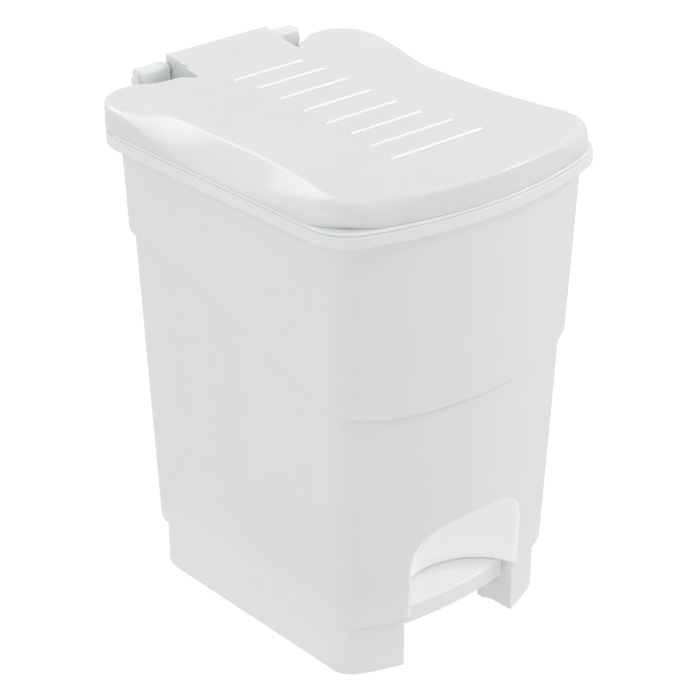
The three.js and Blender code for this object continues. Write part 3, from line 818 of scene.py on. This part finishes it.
def lid():
    """The lid in one moulding: shell, tongue, notches and their walls, ribs, hinge barrel and lug."""
    outer = lid_loft("lid_moulding", 0, LID_FOOT_Z)
    outer_copy = copy_of(outer, "outer_copy")
    surface = surface_of(outer)
    join(outer, tongue_outside())
    whole_surface = surface_of(outer)
    inner = lid_loft("lid_inside", LID_WALL, LID_FOOT_Z - 3)
    join(inner, tongue_inside())
    cut(outer, inner)
    notch_wall = notch_prism("notch_wall", NOTCH_WALL)
    other_wall = mirrored(notch_wall, "notch_wall_left")
    join(notch_wall, other_wall)
    join(outer, common(notch_wall, outer_copy))
    for i, half in enumerate(RIB_HALF_LENGTHS):
        join(outer, rib(f"rib_{i}", surface, half, RIB["back_y"] - RIB["pitch"] * i))
    notch = notch_prism("notch", NOTCH)
    cut(outer, mirrored(notch, "notch_left"), notch)
    edge = notch_edge_rounder("notch_edge", whole_surface)
    cut(outer, mirrored(edge, "notch_edge_left"), edge)
    join(outer, rod("barrel", BARREL_R, -TONGUE_HALF, TONGUE_HALF, AXIS_Y, AXIS_Z, 0.6))
    join(outer, lift_lug())
    bore = rod("bore", PIN_R + HOLE_PLAY, 24, 60, AXIS_Y, AXIS_Z)
    cut(outer, mirrored(bore, "bore_left"), bore)
    return outer


# ---- Hinge pins ------------------------------------------------------------------------------
def hinge_pin():
    """The right pin: a chamfered shank in the lid's barrel and a domed head on the ear."""
    head_x, head_r, head_rise = EAR["outer"] + GAP, 6.0, 3.2
    shank_end, edge = 26.0, 0.8
    dome = [(head_x + head_rise * math.sin(t), head_r * math.cos(t) ** 0.7)
            for t in np.radians(np.arange(6, 86, 6))]
    profile = [(shank_end, PIN_R - edge), (shank_end + edge, PIN_R), (head_x, PIN_R),
               (head_x, head_r - 0.4), (head_x + 0.15, head_r), *dome]
    return facing_out(turned("pin_right", profile, AXIS_Y, AXIS_Z))


# ---- Pedal lever -----------------------------------------------------------------------------
def tread():
    """The tread with its front lip: one section swept across, its back following the well."""
    top, bottom, plate, gap = PEDAL["top"], PEDAL["bottom"], PEDAL["plate"], PEDAL["back_gap"]
    under_z = top - plate
    edge, back_edge, lip_edge = 2.2, 0.7, 0.8
    front = [(0.0, bottom + lip_edge), (0.0, top - edge)]
    front += [(edge - edge * math.cos(t), top - edge + edge * math.sin(t))
              for t in np.radians(np.arange(18, 91, 18))]
    under = [(plate + 0.9, under_z), (plate + 0.25, under_z - 0.3), (plate, under_z - 1.1),
             (plate, bottom + lip_edge), (plate - lip_edge, bottom), (lip_edge, bottom)]
    steps = 40
    rings = []
    for i in range(-steps, steps + 1):
        share = i / steps
        x = PEDAL["half"] * share
        front_y = PEDAL["front_y"] - PEDAL["bow"] * (1 - share ** 2)
        back_y = WELL["back_y"] - gap - (WELL["curl"] - gap) * share ** 6
        ring = [(x, front_y + d, z) for d, z in front]
        ring += [(x, front_y + edge + (back_y - front_y - edge) * t, top) for t in (0.25, 0.5, 0.75)]
        ring += [(x, back_y - back_edge, top), (x, back_y, top - back_edge),
                 (x, back_y, under_z + 0.4), (x, back_y - 0.4, under_z)]
        ring += [(x, front_y + d, z) for d, z in under]
        rings.append(np.array(ring))
    return rounded(facing_out(loft("pedal_moulding", rings)), 0.7, 3, 60)


def lever_arm(name):
    """The right arm, from the tread back past the axle to the rod's eye, with its boss."""
    profile = [(-118, 33), (-90, 30), (PIVOT_Y, 26), (60, 18), (112, 8), (112, 18), (60, 28),
               (PIVOT_Y, 42), (-90, 43), (-118, 45)]
    inner_x, outer_x = 27, 33
    made = rounded(facing_out(prism(name, profile, inner_x, outer_x, "X")), 1.0)
    return join(made, rod("boss", 8.5, inner_x, outer_x + 5, PIVOT_Y, PIVOT_Z, 0.8))


def soft_box(name, *limits):
    return rounded(box(name, *limits), 0.8)


def pedal_lever():
    made = tread()
    arm = lever_arm("arm")
    other = mirrored(arm, "other_arm")
    join(made, arm, other)
    join(made, soft_box("front_tie", -30, 30, -93, -89, 33, 44))
    join(made, soft_box("rear_tie", -30, 30, 104, 112, 8, 18))
    join(made, soft_box("eye_tie", -11, -6, 106, EYE_Y, EYE_Z - 4, EYE_Z + 5))
    join(made, rod("eye", 6, -11, -6, EYE_Y, EYE_Z, 0.6))
    cut(made, rod("axle_bore", AXLE_R + HOLE_PLAY, -60, 60, PIVOT_Y, PIVOT_Z))
    cut(made, rod("eye_bore", ROD_R + HOLE_PLAY, -20, 0, EYE_Y, EYE_Z))
    return made


# ---- Wire, axle and clips --------------------------------------------------------------------
def push_rod():
    """Wire with a hook bent to the left at the bottom and one to the right at the top."""
    bottom = np.array([0, EYE_Y, EYE_Z])
    top = np.array([0, LUG_Y, LUG_Z])
    along = (top - bottom) / np.linalg.norm(top - bottom)
    bend, reach, edge = 4.5, 15.0, 0.8
    sideways = np.array([1.0, 0, 0])
    path = [bottom - sideways * reach, bottom - sideways * (reach - edge), bottom - sideways * bend]
    path += bend_rings(bottom - sideways * bend, bottom, bottom + along * bend, 9)[1:]
    path += between(bottom + along * bend, top - along * bend, 12)
    path += bend_rings(top - along * bend, top, top + sideways * bend, 9)
    path += [top + sideways * (reach - edge), top + sideways * reach]
    rings = []
    across = np.cross(along, sideways)
    for i, point in enumerate(path):
        tangent = path[min(i + 1, len(path) - 1)] - path[max(i - 1, 0)]
        tangent = tangent / np.linalg.norm(tangent)
        side = np.cross(across, tangent)
        end = i in (0, len(path) - 1)
        radius = ROD_R - (edge if end else 0.0)
        rings.append(np.array([point + radius * (math.cos(a) * across + math.sin(a) * side)
                               for a in np.linspace(0, 2 * math.pi, 28, endpoint=False)]))
    return facing_out(loft("push_rod_wire", rings))


def clip_ring(name, inner, outer, x0, x1, y, z):
    """A push-on ring: a dished collar whose inner lip is split into gripping teeth."""
    made = rod(name, outer, x0, x1, y, z, 0.25)
    cut(made, rod("clip_hole", inner, x0 - 1, x1 + 1, y, z))
    slot_half, slot_depth, teeth = 0.35, (outer - inner) * 0.45, 6
    for i in range(teeth):
        slit = box("slit", x0 - 1, x1 + 1, 0, inner + slot_depth, -slot_half, slot_half)
        slit.data.transform(Matrix.Translation((0, y, z)) @ Matrix.Rotation(2 * math.pi * i / teeth, 4, "X"))
        cut(made, slit)
    return made


# ---- Materials -------------------------------------------------------------------------------
def node_setup(name):
    """A new material with its node tree, its shader and the object coordinates."""
    made = bpy.data.materials.new(name)
    made.use_nodes = True
    tree = made.node_tree
    shader = tree.nodes["Principled BSDF"]
    place = tree.nodes.new("ShaderNodeTexCoord")
    return made, tree, shader, place.outputs["Object"]


def noise(tree, place, scale, detail=2.0, stretch=(1, 1, 1)):
    mapping = tree.nodes.new("ShaderNodeMapping")
    mapping.inputs["Scale"].default_value = stretch
    tree.links.new(place, mapping.inputs["Vector"])
    made = tree.nodes.new("ShaderNodeTexNoise")
    made.inputs["Scale"].default_value = scale
    made.inputs["Detail"].default_value = detail
    tree.links.new(mapping.outputs["Vector"], made.inputs["Vector"])
    return made.outputs["Fac"]


def ramp(tree, value, low, high, start=0.3, stop=0.7):
    """A colour ramp from low to high, over the middle of a noise's range."""
    made = tree.nodes.new("ShaderNodeValToRGB")
    made.color_ramp.elements[0].position = start
    made.color_ramp.elements[1].position = stop
    made.color_ramp.elements[0].color = (*low, 1)
    made.color_ramp.elements[1].color = (*high, 1)
    tree.links.new(value, made.inputs["Fac"])
    return made.outputs["Color"]


def spread(tree, value, low, high):
    """Maps a value between 0 and 1 to low and high."""
    made = tree.nodes.new("ShaderNodeMapRange")
    made.inputs["To Min"].default_value = low
    made.inputs["To Max"].default_value = high
    tree.links.new(value, made.inputs["Value"])
    return made.outputs["Result"]


def bump(tree, height, distance, strength, under=None):
    made = tree.nodes.new("ShaderNodeBump")
    made.inputs["Distance"].default_value = distance
    made.inputs["Strength"].default_value = strength
    tree.links.new(height, made.inputs["Height"])
    if under is not None:
        tree.links.new(under, made.inputs["Normal"])
    return made.outputs["Normal"]


def moulded_plastic(name, colour, roughness, grain, milkiness, gloss=0.0, painted_emission=0.0):
    """Milky polypropylene: faint flow mottling, a fine moulded grain and slow sink waves.

    The last argument sets an emission that paints a faint glow, in place of the light that comes through a
    thin wall from behind.
    """
    made, tree, shader, place = node_setup(name)
    flow = noise(tree, place, 9, 3, (1, 1, 0.35))
    darker = tuple(c * 0.975 for c in colour)
    tree.links.new(ramp(tree, flow, darker, colour), shader.inputs["Base Color"])
    wear = noise(tree, place, 40, 4)
    tree.links.new(spread(tree, wear, roughness - 0.05, roughness + 0.06), shader.inputs["Roughness"])
    waves = bump(tree, noise(tree, place, 14, 1, (1, 1, 0.5)), 0.0012, 0.25)
    fine = bump(tree, noise(tree, place, 900, 2), grain, 0.35, waves)
    tree.links.new(fine, shader.inputs["Normal"])
    shader.inputs["Subsurface Weight"].default_value = milkiness
    shader.inputs["Subsurface Radius"].default_value = (1.0, 0.97, 0.92)
    shader.inputs["Subsurface Scale"].default_value = 0.006
    shader.inputs["IOR"].default_value = 1.49
    shader.inputs["Specular IOR Level"].default_value = 0.5
    shader.inputs["Coat Weight"].default_value = gloss
    shader.inputs["Coat Roughness"].default_value = 0.14
    # Painted glow: the emission stands in for light coming through the wall
    shader.inputs["Emission Color"].default_value = (1.0, 0.99, 0.97, 1)
    shader.inputs["Emission Strength"].default_value = painted_emission
    return made


def drawn_steel(name, colour, roughness):
    """Zinc-plated wire: fine draw lines along the piece and a dull spangle."""
    made, tree, shader, place = node_setup(name)
    shader.inputs["Metallic"].default_value = 1.0
    spangle = noise(tree, place, 160, 3)
    dull = tuple(c * 0.82 for c in colour)
    tree.links.new(ramp(tree, spangle, dull, colour), shader.inputs["Base Color"])
    lines = noise(tree, place, 700, 3, (0.15, 1, 0.15))
    tree.links.new(spread(tree, lines, roughness - 0.08, roughness + 0.12), shader.inputs["Roughness"])
    tree.links.new(bump(tree, lines, 0.00004, 0.6), shader.inputs["Normal"])
    return made


def floor_paper():
    """White paper: pure white to the camera, and a softer glow on what stands on it."""
    made, tree, shader, place = node_setup("floor_paper")
    tone = ramp(tree, noise(tree, place, 3, 2), (0.02, 0.02, 0.02), (0.03, 0.03, 0.03))
    tree.links.new(tone, shader.inputs["Base Color"])
    shader.inputs["Roughness"].default_value = 0.95
    shader.inputs["Specular IOR Level"].default_value = 0.0
    shader.inputs["Emission Color"].default_value = (1, 1, 1, 1)
    seen = tree.nodes.new("ShaderNodeLightPath").outputs["Is Camera Ray"]
    tree.links.new(spread(tree, seen, FLOOR_GLOW, 1.0), shader.inputs["Emission Strength"])
    return made


# ---- Finishing pieces ------------------------------------------------------------------------
def finish_piece(made, name, material, body, node, sharp=33):
    """Scales a piece to metres, shades it, and sets it on its body in place of its CAD node."""
    made.name = name
    made.data.transform(Matrix.Scale(MM, 4))
    made.data.materials.clear()
    made.data.materials.append(material)
    made.data.shade_smooth()
    made.data.set_sharp_from_angle(angle=math.radians(sharp))
    even = made.modifiers.new("even_normals", "WEIGHTED_NORMAL")
    even.keep_sharp = True
    even.weight = 50
    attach(made, body)
    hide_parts(node)
    return made


def paint_recess_glow(body, material):
    """The bowl's faces get a lighter copy of the body's finish with a painted glow, in place of the light
    its thin wall passes.
    """
    body.data.materials.append(material)
    mouth_y, behind_mouth_y = RECESS["front_y"] - 1, RECESS["front_y"] + 15
    for face in body.data.polygons:
        x, y, z = face.center / MM
        in_reach = abs(x) < RECESS["half"] + 0.3 and mouth_y < y < WELL["back_y"] + 1
        in_height = WELL["top"] - 0.2 < z < RECESS["top_z"] + 0.3
        faces_back = face.normal.y > 0.3
        front_wall = y < behind_mouth_y and face.normal.y < -0.8
        if in_reach and in_height and not faces_back and not front_wall:
            face.material_index = 1


def paint_rib_highlights(lid_piece, material):
    """Paints a highlight on the ribs' front faces along their whole length, with a lighter, glowing copy of
    the lid's finish.
    """
    lid_piece.data.materials.append(material)
    reach = RIB["width"] / 2 + 0.05
    for face in lid_piece.data.polygons:
        x, y, z = face.center / MM
        i = round((RIB["back_y"] - y) / RIB["pitch"])
        if z < CREASE_Z or face.normal.z < 0 or not 0 <= i < len(RIB_HALF_LENGTHS):
            continue
        near = abs(RIB["back_y"] - RIB["pitch"] * i - y) < reach and abs(x) < RIB_HALF_LENGTHS[i] + reach
        if near and face.normal.y < -0.35:
            face.material_index = 1


def build_pieces():
    matt = dict(roughness=0.38, grain=0.00003)
    glossy = dict(roughness=0.36, milkiness=0.3, gloss=0.5)
    body_white = moulded_plastic("body_white", (0.895, 0.92, 0.907), **matt, milkiness=0.3, gloss=0.2)
    # Painted light: a lighter, glowing copy of the body's finish for the bowl
    recess_painted_glow = moulded_plastic("recess_painted_glow", (0.93, 0.93, 0.92), **matt, milkiness=0.4,
                                   painted_emission=0.13)
    lid_white = moulded_plastic("lid_white", (0.85, 0.872, 0.862), **glossy, grain=0.00002)
    # Painted highlight: a lighter, glowing copy of the lid's finish for the ribs' front faces
    rib_painted_highlight = moulded_plastic("rib_painted_highlight", (0.93, 0.94, 0.935), **glossy, grain=0.00002,
                                painted_emission=0.1)
    # The bucket's finish carries a faint painted glow
    bucket_white = moulded_plastic("bucket_white", (0.9, 0.92, 0.91), **glossy, grain=0.00003,
                                   painted_emission=0.05)
    steel = drawn_steel("zinc_steel", (0.62, 0.63, 0.65), 0.34)
    spring = drawn_steel("spring_steel", (0.36, 0.36, 0.38), 0.4)

    body = finish_piece(outer_body(), "body_moulding", body_white, "root", "outer_body")
    paint_recess_glow(body, recess_painted_glow)
    finish_piece(inner_bucket(), "bucket_moulding", bucket_white, "root", "inner_bucket")
    top = finish_piece(lid(), "lid_moulding", lid_white, "lid", "lid")
    paint_rib_highlights(top, rib_painted_highlight)
    pin = hinge_pin()
    for side, made in (("right", pin), ("left", mirrored(pin, "pin_left"))):
        finish_piece(made, f"pin_{side}", lid_white, "root", f"hinge_pin_{side}")
    finish_piece(pedal_lever(), "pedal_moulding", body_white, "pedal", "pedal_lever")
    axle = rod("axle", AXLE_R, -50, 50, PIVOT_Y, PIVOT_Z, 0.6)
    finish_piece(axle, "axle_bar", steel, "root", "pedal_axle")
    ring = clip_ring("ring", AXLE_R + HOLE_PLAY, 6, 44.5, 46, PIVOT_Y, PIVOT_Z)
    for side, made in (("right", ring), ("left", mirrored(ring, "other_ring"))):
        finish_piece(made, f"axle_ring_{side}", spring, "root", f"axle_clip_{side}")
    finish_piece(push_rod(), "push_rod_wire", steel, "rod", "push_rod")
    lower = clip_ring("lower", ROD_R + HOLE_PLAY, 5.5, -13, -11.5, EYE_Y, EYE_Z)
    finish_piece(lower, "rod_ring_lower", spring, "rod", "rod_clip_lower")
    upper = clip_ring("upper", ROD_R + HOLE_PLAY, 5.5, 10.5, 12, LUG_Y, LUG_Z)
    finish_piece(upper, "rod_ring_upper", spring, "rod", "rod_clip_upper")


# ---- Studio ----------------------------------------------------------------------------------
# How strongly the sky and the floor light the can; the floor looks pure white all the same
SKY_GLOW = 0.78
FLOOR_GLOW = 0.7


def area_light(name, place, aim, size, power):
    data = bpy.data.lights.new(name, "AREA")
    data.shape = "RECTANGLE"
    data.size, data.size_y = size
    data.energy = power
    made = bpy.data.objects.new(name, data)
    made.location = place
    made.rotation_euler = (Vector(aim) - Vector(place)).to_track_quat("-Z", "Y").to_euler()
    START_COLLECTION.objects.link(made)
    return made


def studio():
    floor_half = 30.0
    corners = [(-floor_half, -floor_half, 0), (floor_half, -floor_half, 0),
               (floor_half, floor_half, 0), (-floor_half, floor_half, 0)]
    floor = make_object("studio_floor", corners, [(0, 1, 2, 3)])
    floor.data.materials.append(floor_paper())

    world = bpy.data.worlds.new("soft_white")
    world.use_nodes = True
    world.node_tree.nodes["Background"].inputs["Color"].default_value = (1, 1, 1, 1)
    world.node_tree.nodes["Background"].inputs["Strength"].default_value = SKY_GLOW
    bpy.context.scene.world = world

    middle = (0, 0, 0.25)
    area_light("right_front", (1.75, -1.35, 1.6), middle, (0.35, 0.35), 11)
    area_light("behind", (0.0, 1.6, 1.9), middle, (1.0, 0.9), 6)
    area_light("left", (-2.4, 0.3, 0.5), middle, (1.0, 1.0), 4)
    bpy.context.scene.view_settings.view_transform = "Standard"


def camera():
    """A long lens, turned and raised to the product view."""
    azimuth, elevation, lens = -41.5, 26.89, 118.7
    data = bpy.data.cameras.new("camera")
    data.lens = lens
    data.sensor_width = 36.0
    data.clip_start, data.clip_end = 0.05, 100.0
    made = bpy.data.objects.new("camera", data)
    made.location = (-1.1156, -1.2607, 1.0688)
    made.rotation_euler = (math.radians(90 - elevation), 0, math.radians(azimuth))
    START_COLLECTION.objects.link(made)
    bpy.context.scene.camera = made


camera()
studio()
build_pieces()
